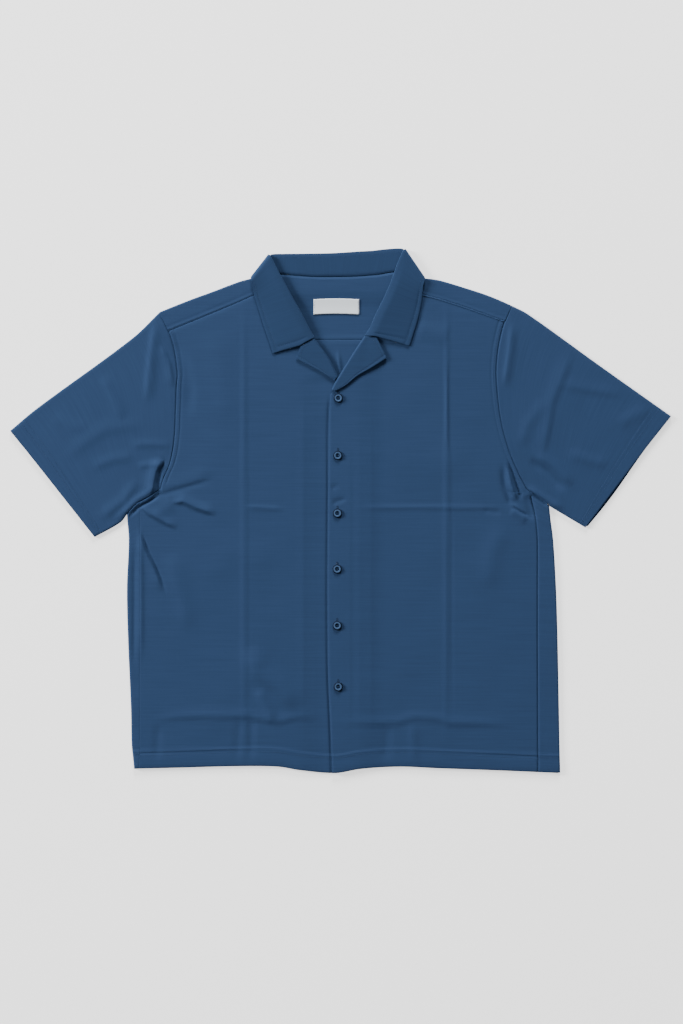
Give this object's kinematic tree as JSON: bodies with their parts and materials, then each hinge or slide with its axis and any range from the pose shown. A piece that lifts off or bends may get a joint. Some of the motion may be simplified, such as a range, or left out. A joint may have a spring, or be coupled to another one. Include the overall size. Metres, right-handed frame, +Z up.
{
  "type": "short-sleeved camp-collar shirt laid flat",
  "caption": "Boxy short-sleeved shirt with a camp collar and buttoned front, laid flat on its back.",
  "frame": {"origin": "centre of the laid-out shirt's outline, on the surface that it lies on", "axes": "+X to the wearer's left (the right of the picture), +Y toward the collar, +Z up from the surface"},
  "size_m": [0.9247, 0.7341, 0.01],
  "materials": {
    "body_cloth": "matt fine waffle knit",
    "collar_cloth": "matt fine waffle knit, fused",
    "label_tape": "satin woven tape, blank",
    "buttons": "satin dyed four-hole button"
  },
  "bodies": {
    "root": {"back": "body_cloth", "yoke": "body_cloth", "front_right": "body_cloth", "front_left": "body_cloth", "sleeve_right": "body_cloth", "sleeve_left": "body_cloth", "facing_right": "collar_cloth", "facing_left": "collar_cloth", "collar": "collar_cloth", "label": "label_tape", "button_1": "buttons", "button_2": "buttons", "button_3": "buttons", "button_4": "buttons", "button_5": "buttons", "button_6": "buttons"}
  },
  "joints": []
}
